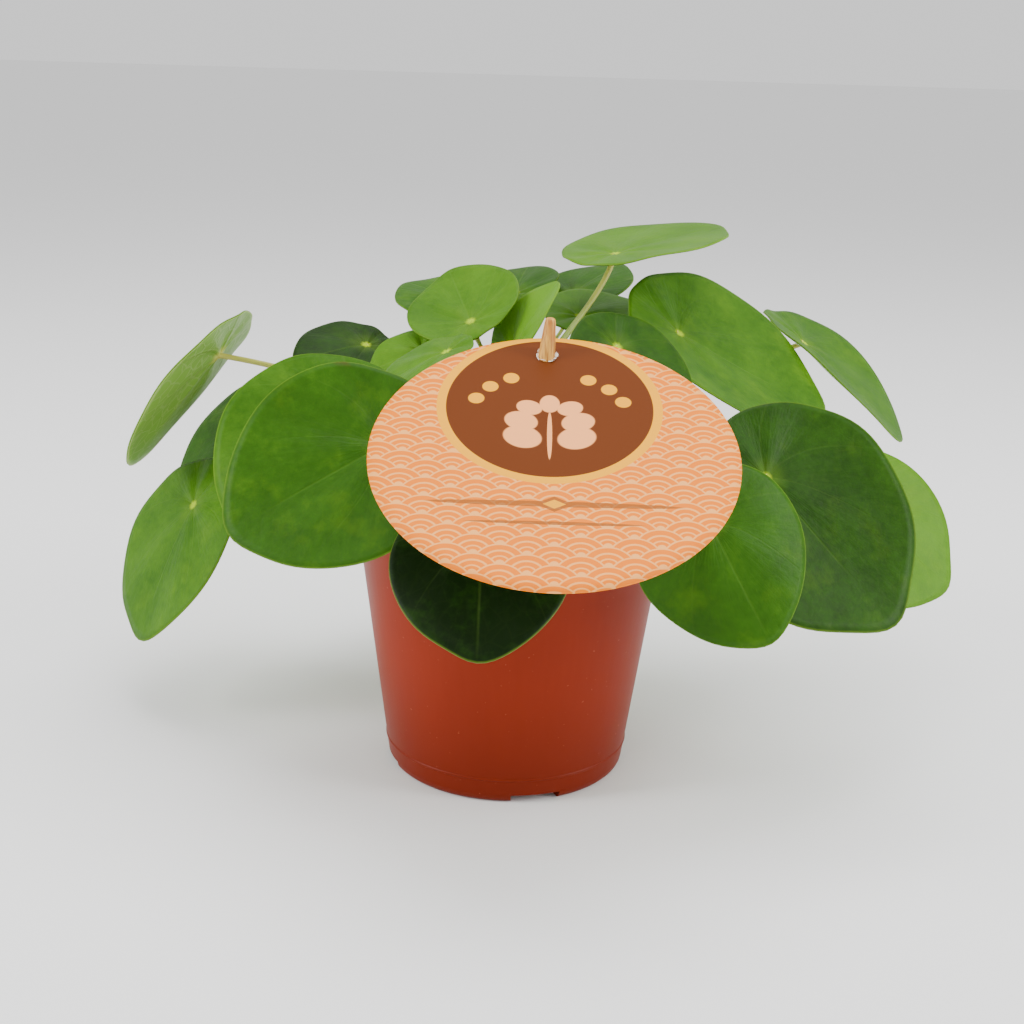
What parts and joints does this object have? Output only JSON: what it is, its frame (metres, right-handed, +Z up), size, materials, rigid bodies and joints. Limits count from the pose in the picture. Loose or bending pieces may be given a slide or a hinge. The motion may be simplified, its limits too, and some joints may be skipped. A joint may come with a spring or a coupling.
{
  "type": "potted chinese money plant",
  "caption": "Leafy house plant with round, stalked leaves in a tapered plastic nursery pot, with a round printed care card on a wooden stick.",
  "frame": {"origin": "centre of the pot's foot, on the surface that it stands on; the whole plant's box is centred over it", "axes": "+Z up along the pot's axis; +X to the right and -Y to the front, the side that the card faces"},
  "size_m": [0.315, 0.2445, 0.192],
  "materials": {
    "pot": "satin",
    "soil": "matte",
    "stem": "matte",
    "leaf": "satin",
    "stalk": "satin",
    "card": "satin",
    "stick": "matte"
  },
  "bodies": {
    "root": {"card_stick": "stick", "care_card": "card", "leaf_back": "leaf", "leaf_back_left": "leaf", "leaf_back_right": "leaf", "leaf_behind_card": "leaf", "leaf_big_right": "leaf", "leaf_crown_back": "leaf", "leaf_crown_back_left": "leaf", "leaf_crown_left": "leaf", "leaf_crown_long": "leaf", "leaf_crown_pale": "leaf", "leaf_crown_right": "leaf", "leaf_crown_round": "leaf", "leaf_crown_upright": "leaf", "leaf_far_left": "leaf", "leaf_far_right": "leaf", "leaf_front": "leaf", "leaf_front_left": "leaf", "leaf_front_right": "leaf", "leaf_inner_left": "leaf", "leaf_low_left": "leaf", "leaf_low_right": "leaf", "leaf_mid_left": "leaf", "leaf_side_right": "leaf", "leaf_top": "leaf", "leaf_upper_left": "leaf", "leaf_upper_right": "leaf", "main_stem": "stem", "pot": "pot", "potting_soil": "soil", "stalk_back": "stalk", "stalk_back_left": "stalk", "stalk_back_right": "stalk", "stalk_behind_card": "stalk", "stalk_big_right": "stalk", "stalk_crown_back": "stalk", "stalk_crown_back_left": "stalk", "stalk_crown_left": "stalk", "stalk_crown_long": "stalk", "stalk_crown_pale": "stalk", "stalk_crown_right": "stalk", "stalk_crown_round": "stalk", "stalk_crown_upright": "stalk", "stalk_far_left": "stalk", "stalk_far_right": "stalk", "stalk_front": "stalk", "stalk_front_left": "stalk", "stalk_front_right": "stalk", "stalk_inner_left": "stalk", "stalk_low_left": "stalk", "stalk_low_right": "stalk", "stalk_mid_left": "stalk", "stalk_side_right": "stalk", "stalk_top": "stalk", "stalk_upper_left": "stalk", "stalk_upper_right": "stalk"}
  },
  "joints": []
}
